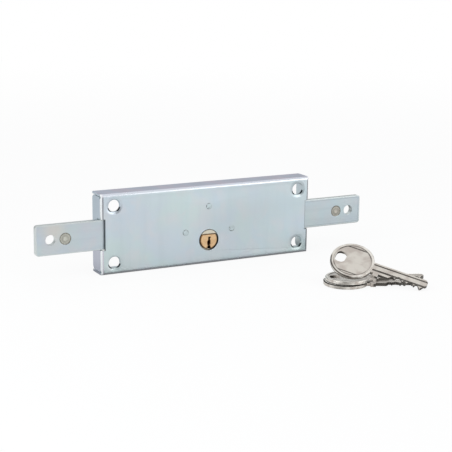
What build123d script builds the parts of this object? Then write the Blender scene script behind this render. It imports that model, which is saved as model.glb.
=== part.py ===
from build123d import *
import math
import os

# A shutter box lock: a flat folded steel case, two flat bolts that leave it at its
# two ends, and a brass cylinder whose plug draws both bolts in with a gear between
# two racks. X runs along the bolts, Y from the front sheet towards the door and Z
# up. The origin is the centre of the four fixing holes, on the front face. All
# sizes are millimetres and degrees.

# Case
case_length = 156.5
case_height = 54.0
case_depth = 15.0
sheet = 1.5
bend_radius = 2.0
corner_slit = 0.5
relief_radius = 0.9
flange_corner_radius = 2.6
fixing_end_inset = 9.25
fixing_edge_inset = 8.0
fixing_radius = 3.9
fixing_rim = 0.4
plug_window_rim = 0.4
plug_window_gap = 0.7
notch_gap = 0.4
notch_depth = 7.0
notch_reach = 2.8

# Bolts, thrown
bolt_showing = 43.95
bolt_height = 20.0
bolt_thickness = 4.0
bolt_corner_radius = 2.0
bolt_step_radius = 3.0
bolt_hole_radius = 3.4
bolt_hole_inset = 10.0
peg_inset = 20.0
bolt_leg_width = 12.0
bolt_pass_gap = 1.7
slide_gap = 0.2
guide_gap = 0.25
travel = 18.0

# Gear and racks
gear_module = 0.8
gear_teeth = 24
pressure_angle = 20.0
dedendum_share = 1.25
backlash = 0.12
rack_end_pitches = 2.5
rack_back = 4.0
lug_gap = 0.3
press_gap = 0.02

# Cylinder, with its plug and pins
plug_rise = 16.5
plug_radius = 6.5
plug_flat = 4.2
plug_chamfer = 0.4
running_gap = 0.05
barrel_radius = 12.5
barrel_end = 29.0
barrel_chamfer = 0.8
ear_web = 0.5
ear_radius = 3.4
ear_thickness = 2.0
ear_angles = (90.0, 225.0, 315.0)
tail_radius = 5.0
tail_length = 2.4
clip_thickness = 0.8
clip_groove_depth = 0.7
clip_radius = 7.4
clip_mouth = 3.2
pin_count = 5
pin_pitch = 4.0
first_pin = 9.0
pin_radius = 1.3
pin_gap = 0.1
pin_chamfer = 0.3
pin_seat = 0.2
pin_split = 0.32
driver_length = 2.6
chamber_top = 1.2
cap_radius = 1.7
cap_thickness = 0.8
cap_sink = 0.2
spring_wire = 0.11
spring_radius = 0.95
spring_turns = 4

# Key; the first cut depth share is the pin nearest the bow
key_bow_radius = 14.2
key_bow_thickness = 2.5
key_rim = 2.0
key_panel_height = 21.6
key_panel_corner = 2.5
key_panel_sink = 0.25
key_ring_hole_width = 6.8
key_ring_hole_height = 8.6
key_ring_hole_corner = 2.8
key_ring_hole_inset = 8.0
key_shoulder_length = 3.4
key_shoulder_drop = 2.2
key_neck_length = 4.8
blade_length = 31.0
blade_height = 8.4
blade_thickness = 2.3
blade_gap = 0.1
blade_rise = 2.1
blade_tip_share = 0.45
shallow_cut = 1.4
deep_cut = 3.8
cut_flat = 0.5
cut_slope = 50.0
cut_depth_shares = (0.35, 0.9, 0.15, 0.7, 0.4)
groove_shares = (
    (0.5, 0.31, 0.075, 0.22), (0.5, -0.2, 0.09, 0.3), (-0.5, 0.38, 0.25, 0.32), (-0.5, -0.22, 0.11, 0.3),
)

# Where the three keys lie on the surface that the case stands on
stack_x = 56.0
stack_y = -84.5
low_key_heading = -29.0
mid_key_heading = -21.5
mid_key_shift = 1.2
stack_gap = 0.05
lean_key_x = 61.2
lean_key_y = -83.85
lean_key_rise = 14.25
lean_key_heading = -47.1
lean_key_dip = 13.9
lean_key_roll = 33.0

# Posts, cover and small fasteners
side_post_x = 17.4
post_neck_radius = 2.05
post_tenon_radius = 1.8
post_head_radius = 2.2
post_head_depth = 0.6
post_collar_radius = 3.5
top_post_gap = 0.75
post_ear_gap = 0.3
cover_length = 110.0
cover_gap = 0.3
cover_sheet = 1.5
cover_bend_radius = 2.0
cover_foot_gap = 0.3
cover_screw_radius = 2.0
cover_screw_head = 3.3
cover_screw_length = 7.0
barrel_screw_radius = 1.5
barrel_screw_head = 2.6
barrel_screw_length = 3.4
head_slot_width = 0.8
head_slot_depth = 0.6
peg_radius = 4.0
peg_shank_radius = 3.2
peg_length = 8.0
peg_flare = 0.8
peg_chamfer = 0.8

# One overrun for every cut that leaves a face
over = 1.0

# Places worked out from the sizes above
half_length = case_length / 2
bolt_reach = half_length + bolt_showing
half_height = case_height / 2
inner_height = half_height - sheet
bolt_front = sheet + slide_gap
bolt_back = bolt_front + bolt_thickness
layer_back = bolt_back + slide_gap
cover_front = case_depth - cover_sheet
bolt_top = bolt_height / 2
pitch_radius = gear_module * gear_teeth / 2
tip_radius = pitch_radius + gear_module
root_radius = pitch_radius - gear_module * dedendum_share
rack_pitch = math.pi * gear_module
rack_reach = rack_end_pitches * rack_pitch
plug_z = plug_rise - half_height
fixing_x = half_length - fixing_end_inset
fixing_z = half_height - fixing_edge_inset
upper_pitch_z = plug_z + pitch_radius
lower_pitch_z = plug_z - pitch_radius
tooth_tip_z = upper_pitch_z - gear_module
strip_tip_z = lower_pitch_z + gear_module
strip_low_z = strip_tip_z - gear_module * (1 + dedendum_share) - rack_back
side_post_z = tooth_tip_z - guide_gap - post_neck_radius
left_body_end = -(side_post_x + post_neck_radius + travel + bolt_step_radius + guide_gap)
right_body_end = rack_reach + 2 * travel + bolt_pass_gap
bore_radius = plug_radius + running_gap
chamber_radius = pin_radius + pin_gap
pin_foot = plug_radius - pin_seat
driver_top = pin_foot + pin_split
spring_top = driver_top + driver_length
cap_top = barrel_radius - cap_sink - cap_thickness
blade_middle_z = plug_z + blade_rise - blade_height / 2
pin_places = [first_pin + pin_pitch * i for i in range(pin_count)]
cut_depths = [shallow_cut + (deep_cut - shallow_cut) * share for share in cut_depth_shares]
ear_circle = barrel_radius + barrel_screw_head + ear_web
ear_top = plug_z + ear_circle + ear_radius
top_post_z = max(
    bolt_top + top_post_gap + post_neck_radius, ear_top + post_ear_gap + post_collar_radius
)
post_places = [(-side_post_x, side_post_z), (side_post_x, side_post_z), (0, top_post_z)]
ear_places = [
    (
        ear_circle * math.cos(math.radians(angle)),
        plug_z + ear_circle * math.sin(math.radians(angle)),
    )
    for angle in ear_angles
]


# Shapes that several pieces use
def block(x0, x1, y0, y1, z0, z1):
    """A box between two corners."""
    middle = Pos((x0 + x1) / 2, (y0 + y1) / 2, (z0 + z1) / 2)
    return middle * Box(x1 - x0, y1 - y0, z1 - z0)


def cut_from_sheet(sketch, y0, y1):
    """A sketch drawn in X and Z, solid from depth y0 to depth y1."""
    return Pos(0, y1, 0) * (Plane.XZ * extrude(sketch, y1 - y0))


def turned(points, x=0, z=0):
    """A turned piece on a line along the depth, from (radius, depth) points."""
    half = make_face(Polyline(*points, close=True))
    return Pos(x, 0, z) * revolve(half, Axis.Y)


def turned_upright(points, x=0, y=0):
    """A turned piece on an upright line, from (radius, height) points."""
    half = make_face(Polyline(*[(radius, 0, height) for radius, height in points], close=True))
    return Pos(x, y, 0) * revolve(half, Axis.Z)


def rod(radius, y0, y1, x=0, z=0):
    """A round bar, or the tool for a round hole, along the depth."""
    return turned([(0, y0), (radius, y0), (radius, y1), (0, y1)], x, z)


# Case
def mirrored(shape, side, end):
    """A shape drawn at the upper right, taken to any corner of the case."""
    if side < 0:
        shape = mirror(shape, about=Plane.YZ)
    if end < 0:
        shape = mirror(shape, about=Plane.XY)
    return shape


def corner_cuts():
    """Slit, relief and rounding that part an end flange from its neighbour."""
    inner_x = half_length - sheet
    edge = inner_height - corner_slit
    slit = block(
        inner_x - over / 2, half_length + over, bend_radius, case_depth + over, edge, inner_height
    )
    along = Pos(half_length, 0, 0) * Rot(0, 90, 0)
    relief = Pos(0, bend_radius, edge) * along * Cylinder(relief_radius, 2 * (sheet + over))
    near = case_depth - flange_corner_radius
    low = edge - flange_corner_radius
    square = block(
        inner_x - over / 2, half_length + over, near, case_depth + over, low, edge + corner_slit / 2
    )
    kept = Pos(0, near, low) * along * Cylinder(flange_corner_radius, 4 * (sheet + over))
    return slit + relief + (square - kept)


def bolt_notch():
    """Opening in the end flange and its bend that a bolt slides through."""
    low, high = -(bolt_top + notch_gap), bolt_top + notch_gap
    outside = half_length + over
    front = block(half_length - notch_reach, outside, -over, notch_depth, low, high)
    behind = block(half_length - sheet - over, outside, sheet, notch_depth, low, high)
    return front + behind


def make_case():
    """Folded sheet with four flanges, open behind, with slits at its corners."""
    outer = block(-half_length, half_length, 0, case_depth, -half_height, half_height)
    outer = fillet(outer.edges().group_by(Axis.Y)[0], bend_radius)
    inner_x = half_length - sheet
    inner = block(-inner_x, inner_x, sheet, case_depth + over, -inner_height, inner_height)
    inner = fillet(inner.edges().group_by(Axis.Y)[0], bend_radius - sheet)
    case = outer - inner

    for side in (-1, 1):
        case -= mirrored(bolt_notch(), side, 1)
        for end in (-1, 1):
            case -= mirrored(corner_cuts(), side, end)

    for x in (-fixing_x, fixing_x):
        for z in (-fixing_z, fixing_z):
            case -= rolled_hole(fixing_radius, fixing_rim, x, z)
    case -= rolled_hole(plug_radius + plug_window_gap, plug_window_rim, 0, plug_z)
    for x, z in post_places:
        case -= turned(post_front(press_gap, over), x, z)
    return case


def rolled_hole(radius, rim, x, z):
    """The tool for a punched hole through the front sheet with a rolled front rim."""
    drop = rim * (1 - math.cos(math.radians(45)))
    roll = ThreePointArc((radius + rim, 0), (radius + drop, drop), (radius, rim))
    sides = Polyline(
        (radius, rim), (radius, sheet + over), (0, sheet + over), (0, -over),
        (radius + rim, -over), (radius + rim, 0),
    )
    half = make_face([*sides.edges(), roll])
    return Pos(x, 0, z) * revolve(half, Axis.Y)


# Posts that carry the cover and guide the bolts
def post_front(gap, reach):
    """Outline of a post's riveted end, in the front sheet, with a gap all round."""
    return [
        (0, -reach),
        (post_head_radius + gap, -reach),
        (post_head_radius + gap, 0),
        (post_tenon_radius + gap, post_head_depth),
        (post_tenon_radius + gap, sheet + reach),
        (0, sheet + reach),
    ]


def make_post(x, z):
    """A stepped post: riveted end, neck beside the bolts and threaded collar."""
    post = turned(
        [
            (0, 0),
            (post_head_radius, 0),
            (post_tenon_radius, post_head_depth),
            (post_tenon_radius, sheet),
            (post_neck_radius, sheet),
            (post_neck_radius, layer_back),
            (post_collar_radius, layer_back),
            (post_collar_radius, cover_front),
            (0, cover_front),
        ],
        x, z,
    )
    thread_end = case_depth - cover_screw_length - press_gap
    return post - rod(cover_screw_radius + press_gap, thread_end, case_depth, x, z)


# Bolts
def tooth_space(x, tip_z, up):
    """The gap between two rack teeth; up is 1 where the teeth point up."""
    slope = math.tan(math.radians(pressure_angle))
    half = (rack_pitch + backlash) / 4
    wide = half + (gear_module + over) * slope
    narrow = half - gear_module * dedendum_share * slope
    outside = tip_z + up * over
    bottom = tip_z - up * gear_module * (1 + dedendum_share)
    gap = make_face(
        Polyline(
            (x - wide, outside), (x + wide, outside),
            (x + narrow, bottom), (x - narrow, bottom), close=True,
        )
    )
    return cut_from_sheet(gap, bolt_front - over, bolt_back + over)


def rack_spaces(tip_z, up, run):
    """All the tooth gaps of a rack that runs past the gear; run is -1 or 1."""
    short = math.floor(rack_end_pitches)
    long = math.ceil(travel / rack_pitch + rack_end_pitches)
    return [tooth_space(run * rack_pitch * step, tip_z, up) for step in range(-short, long + 1)]


def bolt_end_holes(side):
    """The through hole and the riveted peg's hole near a bolt's outer end."""
    hole_x = side * (bolt_reach - bolt_hole_inset)
    peg_x = side * (bolt_reach - peg_inset)
    hole = rod(bolt_hole_radius, bolt_front - over, bolt_back + over, hole_x)
    peg = turned(
        [
            (0, bolt_front - over),
            (peg_radius + press_gap, bolt_front - over),
            (peg_radius + press_gap, bolt_front),
            (peg_shank_radius + press_gap, bolt_front + peg_flare),
            (peg_shank_radius + press_gap, bolt_back + over),
            (0, bolt_back + over),
        ],
        peg_x,
    )
    return [hole, peg]


def make_left_bolt():
    """Flat bolt with a half-height tail, toothed below, that runs over the gear."""
    face = make_face(
        Polyline(
            (-bolt_reach, -bolt_top), (left_body_end, -bolt_top),
            (left_body_end, tooth_tip_z), (rack_reach, tooth_tip_z),
            (rack_reach, bolt_top), (-bolt_reach, bolt_top), close=True,
        )
    )
    face = fillet(face.vertices().group_by(Axis.X)[0], bolt_corner_radius)
    step = face.vertices().sort_by_distance((left_body_end, tooth_tip_z))[0]
    face = fillet(step, bolt_step_radius)
    bolt = cut_from_sheet(face, bolt_front, bolt_back)
    for tool in rack_spaces(tooth_tip_z, -1, -1) + bolt_end_holes(-1):
        bolt -= tool
    return bolt


def make_right_bolt():
    """Flat bolt cranked down to a strip, toothed above, that runs under the gear."""
    leg_x = right_body_end + bolt_leg_width
    face = make_face(
        Polyline(
            (-rack_reach, strip_low_z), (leg_x, strip_low_z), (leg_x, -bolt_top),
            (bolt_reach, -bolt_top), (bolt_reach, bolt_top), (right_body_end, bolt_top),
            (right_body_end, strip_tip_z), (-rack_reach, strip_tip_z), close=True,
        )
    )
    face = fillet(face.vertices().group_by(Axis.X)[-1], bolt_corner_radius)
    for corner in ((leg_x, -bolt_top), (right_body_end, strip_tip_z), (leg_x, strip_low_z)):
        face = fillet(face.vertices().sort_by_distance(corner)[0], bolt_step_radius)
    bolt = cut_from_sheet(face, bolt_front, bolt_back)
    for tool in rack_spaces(strip_tip_z, 1, 1) + bolt_end_holes(1):
        bolt -= tool
    return bolt


def make_peg(side):
    """Riveted peg at a bolt's outer end, with its free end behind the bolt."""
    free_end = bolt_back + peg_length
    return turned(
        [
            (0, bolt_front),
            (peg_radius, bolt_front),
            (peg_shank_radius, bolt_front + peg_flare),
            (peg_shank_radius, bolt_back),
            (peg_radius, bolt_back),
            (peg_radius, free_end - peg_chamfer),
            (peg_radius - peg_chamfer, free_end),
            (0, free_end),
        ],
        side * (bolt_reach - peg_inset),
    )


# Gear
def involute(radius, base):
    """How far, in radians, an involute from the base circle has turned at a radius."""
    angle = math.acos(base / radius)
    return math.tan(angle) - angle


def gear_outline():
    """Toothed outline about the origin, with one tooth straight up and one down."""
    base = pitch_radius * math.cos(math.radians(pressure_angle))
    at_pitch = (rack_pitch - backlash) / (4 * pitch_radius)

    def half_angle(radius):
        return at_pitch + involute(pitch_radius, base) - involute(radius, base)

    def point(radius, angle):
        return (radius * math.sin(angle), radius * math.cos(angle))

    middle = (base + tip_radius) / 2
    edges = []
    step = 2 * math.pi / gear_teeth
    for tooth in range(gear_teeth):
        turn = tooth * step
        root, tip = half_angle(base), half_angle(tip_radius)
        rising = [point(root_radius, turn - root), point(base, turn - root)]
        falling = [point(base, turn + root), point(root_radius, turn + root)]
        rise_middle = point(middle, turn - half_angle(middle))
        fall_middle = point(middle, turn + half_angle(middle))
        edges += [
            Line(*rising),
            ThreePointArc(rising[1], rise_middle, point(tip_radius, turn - tip)),
            Line(point(tip_radius, turn - tip), point(tip_radius, turn + tip)),
            ThreePointArc(point(tip_radius, turn + tip), fall_middle, falling[0]),
            Line(*falling),
            Line(falling[1], point(root_radius, turn + step - root)),
        ]
    return make_face(edges)


def above_flat(radius, flat):
    """The part of a disc that lies above a flat."""
    return Circle(radius) & (Pos(0, flat + radius) * Rectangle(2 * radius, 2 * radius))


def make_driver_gear():
    """Gear on the plug's flatted front, with a lug that fills the flat to the face."""
    flat = plug_flat + press_gap
    bore = Circle(plug_radius + press_gap)
    gear = gear_outline() - (bore - above_flat(plug_radius + press_gap, flat))
    lug = above_flat(plug_radius + plug_window_gap - lug_gap, flat)
    lug_front = plug_chamfer / 4
    solid = cut_from_sheet(gear, bolt_front, bolt_back) + cut_from_sheet(lug, lug_front, bolt_front)
    return Pos(0, 0, plug_z) * solid


# Key blade profile, which the keyway follows
def blade_profile():
    """Blade section: X is its thickness, Y its height, with grooves along it."""
    section = Rectangle(blade_thickness, blade_height)
    for side, height, half_width, depth in groove_shares:
        edge = side * blade_thickness
        floor = (side - math.copysign(depth, side)) * blade_thickness
        middle = height * blade_height
        mouth = half_width * blade_height
        past = edge + math.copysign(blade_gap, side)
        groove = Polyline(
            (past, middle - mouth), (edge, middle - mouth), (floor, middle - mouth / 2),
            (floor, middle + mouth / 2), (edge, middle + mouth), (past, middle + mouth), close=True,
        )
        section -= make_face(groove)
    return section


def keyway():
    """Profile of the plug's keyway: the blade's with a gap, open below."""
    slot = offset(blade_profile(), amount=blade_gap, kind=Kind.INTERSECTION)
    mouth = Rectangle(blade_thickness + 2 * blade_gap, over + blade_gap)
    mouth = Pos(0, -(blade_height + over) / 2) * mouth
    return Pos(0, blade_middle_z) * (slot + mouth)


# Cylinder
def make_plug():
    """Plug with its flatted front, keyway, pin chambers and grooved tail."""
    tail_end = barrel_end + tail_length
    groove_front = barrel_end + running_gap
    groove_back = groove_front + clip_thickness + 2 * running_gap
    groove_radius = tail_radius - clip_groove_depth
    plug = turned(
        [
            (0, 0),
            (plug_radius - plug_chamfer, 0),
            (plug_radius, plug_chamfer),
            (plug_radius, barrel_end),
            (tail_radius, barrel_end),
            (tail_radius, groove_front),
            (groove_radius, groove_front),
            (groove_radius, groove_back),
            (tail_radius, groove_back),
            (tail_radius, tail_end),
            (0, tail_end),
        ],
        0, plug_z,
    )
    flat_z = plug_z + plug_flat
    plug -= block(-plug_radius, plug_radius, -over, bolt_back + slide_gap / 2, flat_z, flat_z + plug_radius)
    plug -= cut_from_sheet(keyway(), -over, tail_end + over)
    for y in pin_places:
        low, high = plug_z - plug_radius - over, plug_z - chamber_top
        plug -= turned_upright([(0, low), (chamber_radius, low), (chamber_radius, high), (0, high)], 0, y)
    return plug


def make_barrel():
    """Round barrel with three screwed ears, a bore and a row of pin chambers."""
    barrel = turned(
        [
            (bore_radius, layer_back),
            (barrel_radius - barrel_chamfer, layer_back),
            (barrel_radius, layer_back + barrel_chamfer),
            (barrel_radius, barrel_end - barrel_chamfer),
            (barrel_radius - barrel_chamfer, barrel_end),
            (bore_radius, barrel_end),
        ],
        0, plug_z,
    )
    for (x, z), angle in zip(ear_places, ear_angles):
        arm = Pos(ear_circle / 2, 0) * Rectangle(ear_circle, 2 * ear_radius)
        arm = Pos(0, plug_z) * Rot(0, 0, angle) * arm
        ear = arm + Pos(x, z) * Circle(ear_radius)
        ear -= Pos(0, plug_z) * Circle(bore_radius + over)
        barrel += cut_from_sheet(ear, cover_front - ear_thickness, cover_front)
        barrel -= rod(barrel_screw_radius + press_gap, cover_front - ear_thickness - over, case_depth, x, z)
    for y in pin_places:
        low, high = plug_z - barrel_radius - over, plug_z - bore_radius + over
        barrel -= turned_upright([(0, low), (chamber_radius, low), (chamber_radius, high), (0, high)], 0, y)
        seat, wide = plug_z - cap_top, cap_radius + press_gap
        barrel -= turned_upright([(0, low), (wide, low), (wide, seat), (0, seat)], 0, y)
    return barrel


def make_clip():
    """Open ring in the groove of the plug's tail, which holds the plug in."""
    ring = Circle(clip_radius) - Circle(tail_radius - clip_groove_depth + running_gap)
    ring -= Pos(0, -clip_radius) * Rectangle(2 * clip_mouth, 2 * clip_radius)
    front = barrel_end + 2 * running_gap
    return Pos(0, 0, plug_z) * cut_from_sheet(ring, front, front + clip_thickness)


def make_key_pin(y, length):
    """Pin inside the plug, with a cone that rides in a key's cut."""
    foot = plug_z - pin_foot
    cone = min(pin_radius - pin_chamfer, length / 2)
    return turned_upright(
        [
            (0, foot),
            (pin_radius - pin_chamfer, foot),
            (pin_radius, foot + pin_chamfer),
            (pin_radius, foot + length - cone),
            (pin_radius - cone, foot + length),
            (0, foot + length),
        ],
        0, y,
    )


def make_driver_pin(y):
    """Pin in the barrel, pushed up to the plug by its spring."""
    top = plug_z - driver_top
    foot = plug_z - spring_top
    return turned_upright(
        [
            (0, foot),
            (pin_radius - pin_chamfer, foot),
            (pin_radius, foot + pin_chamfer),
            (pin_radius, top - pin_chamfer),
            (pin_radius - pin_chamfer, top),
            (0, top),
        ],
        0, y,
    )


def make_spring(y):
    """Coil spring between a driver pin and its cap."""
    length = cap_top - spring_top - 2 * (spring_wire + running_gap)
    line = Helix(length / spring_turns, length, spring_radius)
    start = Plane(origin=line @ 0, z_dir=line % 0)
    coil = sweep(start * RegularPolygon(spring_wire, 6), line, is_frenet=True)
    return Pos(0, y, plug_z - cap_top + spring_wire + running_gap) * coil


def make_pin_caps():
    """Discs that close the barrel's pin chambers from below."""
    top, foot = plug_z - cap_top, plug_z - cap_top - cap_thickness
    outline = [(0, foot), (cap_radius, foot), (cap_radius, top), (0, top)]
    return Compound(children=[turned_upright(outline, 0, y) for y in pin_places])


# Cover and its screws
def screw_outline(radius, head, length, gap):
    """Half outline of a countersunk screw from the cover's outer face inwards."""
    return [
        (0, case_depth),
        (head + gap, case_depth),
        (radius + gap, case_depth - (head - radius)),
        (radius + gap, case_depth - length),
        (0, case_depth - length),
    ]


def countersunk_hole(radius, head, x, z):
    """The tool for a screw's hole through the cover."""
    hole = turned(screw_outline(radius, head, cover_sheet + over, press_gap), x, z)
    return hole + rod(head + press_gap, case_depth, case_depth + over, x, z)


def make_screws(places, radius, head, length):
    """A group of countersunk screws, each with a straight driver slot."""
    screws = []
    for x, z in places:
        screw = turned(screw_outline(radius, head, length, 0), x, z)
        slot_low = case_depth - head_slot_depth
        screw -= block(
            x - head, x + head, slot_low, case_depth + over, z - head_slot_width / 2, z + head_slot_width / 2
        )
        screws.append(screw)
    return Compound(children=screws)


def make_cover():
    """Rear cover whose folded ends keep the bolts against the front sheet."""
    half = cover_length / 2
    top = inner_height - cover_gap
    foot = bolt_back + cover_foot_gap
    cover = block(-half, half, foot, case_depth, -top, top)
    rear = cover.edges().filter_by(Axis.Z).group_by(Axis.Y)[-1]
    cover = fillet(rear, cover_bend_radius)
    hollow = block(-half + cover_sheet, half - cover_sheet, foot - over, cover_front, -top - over, top + over)
    rear = hollow.edges().filter_by(Axis.Z).group_by(Axis.Y)[-1]
    cover -= fillet(rear, cover_bend_radius - cover_sheet)
    cover -= rod(barrel_radius + cover_gap / 2, cover_front - over, case_depth + over, 0, plug_z)
    for x, z in post_places:
        cover -= countersunk_hole(cover_screw_radius, cover_screw_head, x, z)
    for x, z in ear_places:
        cover -= countersunk_hole(barrel_screw_radius, barrel_screw_head, x, z)
    return cover


# Keys
def bitting():
    """The cuts in a blade's lower edge, one for each pin."""
    slope = math.tan(math.radians(cut_slope))
    low = -blade_height / 2
    cuts = []
    for place, depth in zip(pin_places, cut_depths):
        reach = cut_flat + (depth + over) / slope
        cuts.append(
            make_face(
                Polyline(
                    (place - reach, low - over), (place + reach, low - over),
                    (place + cut_flat, low + depth), (place - cut_flat, low + depth), close=True,
                )
            )
        )
    return cuts


def make_key():
    """A key lying flat: blade along X, cuts towards -Y, origin at the bow's centre."""
    blade = extrude(blade_profile(), blade_length + key_neck_length + key_rim)
    blade = Pos(blade_length, 0, 0) * Rot(0, -90, 0) * blade
    tip = blade_height * blade_tip_share
    sharp = Polyline(
        (blade_length - tip, -blade_height), (blade_length + over, -blade_height),
        (blade_length + over, 0), (blade_length, 0), (blade_length - tip, -blade_height / 2), close=True,
    )
    for cut in bitting() + [make_face(sharp)]:
        blade -= Pos(0, 0, -blade_height / 2) * extrude(cut, blade_height)
    blade_top = blade.edges().filter_by(Axis.Z).sort_by_distance((blade_length, blade_height / 2, 0))[0]
    blade = chamfer(blade_top, blade_height / 6)

    bow_x = -(key_neck_length + key_bow_radius)
    bow = Pos(bow_x, 0) * Circle(key_bow_radius)
    shoulder_low = -blade_height / 2 - key_shoulder_drop
    shoulder = Polyline(
        (-key_shoulder_length, shoulder_low), (0, shoulder_low), (0, -blade_height / 3),
        (-key_neck_length - key_rim, -blade_height / 3),
        (-key_neck_length - key_rim, -blade_height / 2), (-key_shoulder_length, -blade_height / 2),
        close=True,
    )
    head = extrude(bow + make_face(shoulder), key_bow_thickness / 2, both=True)
    rim = head.edges().filter_by(GeomType.CIRCLE).filter_by(lambda edge: edge.radius == key_bow_radius)
    head = chamfer(rim, key_panel_sink)
    hole = RectangleRounded(key_ring_hole_width, key_ring_hole_height, key_ring_hole_corner)
    head -= Pos(bow_x - key_ring_hole_inset, 0) * extrude(hole, key_bow_thickness, both=True)
    panel = Circle(key_bow_radius - key_rim) & Rectangle(2 * key_bow_radius, key_panel_height)
    panel = fillet(panel.vertices(), key_panel_corner)
    floor = key_bow_thickness / 2 - key_panel_sink
    for side in (-1, 1):
        head -= Pos(bow_x, 0, side * floor) * extrude(panel, side * over)
    return Pos(-bow_x, 0, 0) * (head + blade)


def lying_key(key, heading, level, shift):
    """A key flat in the stack; level counts from the surface up."""
    height = -half_height + key_bow_thickness / 2 + level * (key_bow_thickness + stack_gap)
    return Pos(stack_x, stack_y, height) * Rot(0, 0, heading) * Pos(shift, 0, 0) * key


def leaning_key(key):
    """The key that leans on the stack with its tip on the surface."""
    place = Pos(lean_key_x, lean_key_y, lean_key_rise - half_height) * Rot(0, 0, lean_key_heading)
    return place * Rot(0, lean_key_dip, 0) * Rot(lean_key_roll, 0, 0) * key


def main():
    """Makes every piece and writes each one to its own file."""
    key = make_key()
    pieces = {
        "case": make_case(),
        "rear_cover": make_cover(),
        "left_bolt": make_left_bolt(),
        "right_bolt": make_right_bolt(),
        "left_peg": make_peg(-1),
        "right_peg": make_peg(1),
        "plug": make_plug(),
        "driver_gear": make_driver_gear(),
        "cylinder_barrel": make_barrel(),
        "plug_clip": make_clip(),
        "left_post": make_post(*post_places[0]),
        "right_post": make_post(*post_places[1]),
        "top_post": make_post(*post_places[2]),
        "cover_screws": make_screws(post_places, cover_screw_radius, cover_screw_head, cover_screw_length),
        "barrel_screws": make_screws(ear_places, barrel_screw_radius, barrel_screw_head, barrel_screw_length),
        "pin_caps": make_pin_caps(),
        "key_1": lying_key(key, low_key_heading, 0, 0),
        "key_2": lying_key(key, mid_key_heading, 1, mid_key_shift),
        "key_3": leaning_key(key),
    }
    for number, (y, depth) in enumerate(zip(pin_places, cut_depths), start=1):
        pieces[f"key_pin_{number}"] = make_key_pin(y, depth)
        pieces[f"driver_pin_{number}"] = make_driver_pin(y)
        pieces[f"pin_spring_{number}"] = make_spring(y)

    os.makedirs("parts", exist_ok=True)
    for name, shape in pieces.items():
        export_step(shape, f"parts/{name}.step")


main()
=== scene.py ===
import math

import bmesh
import bpy
from mathutils import Matrix, Vector


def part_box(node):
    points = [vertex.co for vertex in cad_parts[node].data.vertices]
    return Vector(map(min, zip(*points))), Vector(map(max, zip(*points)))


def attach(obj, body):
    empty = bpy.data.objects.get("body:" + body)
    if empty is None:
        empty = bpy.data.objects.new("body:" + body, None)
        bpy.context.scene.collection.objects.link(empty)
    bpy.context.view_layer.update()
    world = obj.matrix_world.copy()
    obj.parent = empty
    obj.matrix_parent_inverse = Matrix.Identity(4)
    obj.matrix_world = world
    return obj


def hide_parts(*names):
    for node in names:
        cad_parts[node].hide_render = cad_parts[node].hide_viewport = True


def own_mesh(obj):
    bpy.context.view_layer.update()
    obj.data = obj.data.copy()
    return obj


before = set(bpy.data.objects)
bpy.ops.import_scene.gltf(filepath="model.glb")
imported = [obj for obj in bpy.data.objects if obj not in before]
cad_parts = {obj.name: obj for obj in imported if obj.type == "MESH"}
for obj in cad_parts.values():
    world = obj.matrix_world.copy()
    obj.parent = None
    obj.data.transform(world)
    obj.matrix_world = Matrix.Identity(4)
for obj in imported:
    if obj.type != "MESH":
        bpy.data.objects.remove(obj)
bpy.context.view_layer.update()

# A shutter box lock with its three keys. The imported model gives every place. This script
# finishes the metal: rounded edges, riveted ends, zinc, brass and nickel silver. Then it
# adds a pale table, soft lamps and the camera. Lengths are in millimetres unless a comment
# says otherwise, and become metres when a mesh is made.
MM = 0.001


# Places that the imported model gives
def low_corner(node):
    """The lowest corner of a node, in millimetres."""
    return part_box(node)[0] / MM


def high_corner(node):
    """The highest corner of a node, in millimetres."""
    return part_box(node)[1] / MM


def middle(node):
    """The middle of a node's box, in millimetres."""
    return (low_corner(node) + high_corner(node)) / 2


TABLE_Z = low_corner("case").z
CASE_END = high_corner("case").x
CASE_TOP = high_corner("case").z
PLUG_X = middle("cylinder_barrel").x
BOLT_FRONT = low_corner("left_bolt").y
BOLT_END = high_corner("right_bolt").x

# Sizes of the lock that no node's box gives
SHEET = 1.5
HOLE_X, HOLE_Z, HOLE_RADIUS = 69.0, 19.0, 3.9
NOTCH_X, NOTCH_Z = CASE_END - 2.8, 10.4
WINDOW_RADIUS = 7.2
PLUG_Z = -10.5
PLUG_RIM = 6.2
PLUG_FLAT = 4.2
BOLT_BACK = BOLT_FRONT + 4.0
BOLT_HALF = 10.0
BOLT_HOLE_X, BOLT_HOLE_RADIUS = BOLT_END - 10.0, 3.4
PEG_RADIUS, SHANK_RADIUS = 4.0, 3.2
PIN_COUNT = 5

# Sizes of a key, from the middle of its bow: X along the blade, Z out of its face.
# A pair gives where a mask starts and where it ends.
BOW_EDGE, BOW_END = 14.0, 12.5
PANEL_SIDE, PANEL_END = 10.35, 12.15
BOW_RIM = (12.6, 12.9)
RING_HOLE_X = -8.0
RING_HOLE_HALF_LENGTH = (3.4, 3.55)
RING_HOLE_HALF_WIDTH = (4.3, 4.45)
SHOULDER = (13.0, 14.5)
BLADE_HALF_HEIGHT = (3.6, 4.0)
BLADE_FACE = (0.9, 1.1)

# Where each key lies: the turn and the middle of its bow
KEY_PLACES = {
    "key_1": Matrix.Translation((56.0, -84.5, TABLE_Z + 1.25))
    @ Matrix.Rotation(math.radians(-29.0), 4, "Z"),
    "key_2": Matrix.Translation((56.0, -84.5, TABLE_Z + 3.8))
    @ Matrix.Rotation(math.radians(-21.5), 4, "Z")
    @ Matrix.Translation((1.2, 0, 0)),
    "key_3": Matrix.Translation((61.2, -83.85, TABLE_Z + 14.25))
    @ Matrix.Rotation(math.radians(-47.1), 4, "Z")
    @ Matrix.Rotation(math.radians(13.9), 4, "Y")
    @ Matrix.Rotation(math.radians(33.0), 4, "X"),
}

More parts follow.
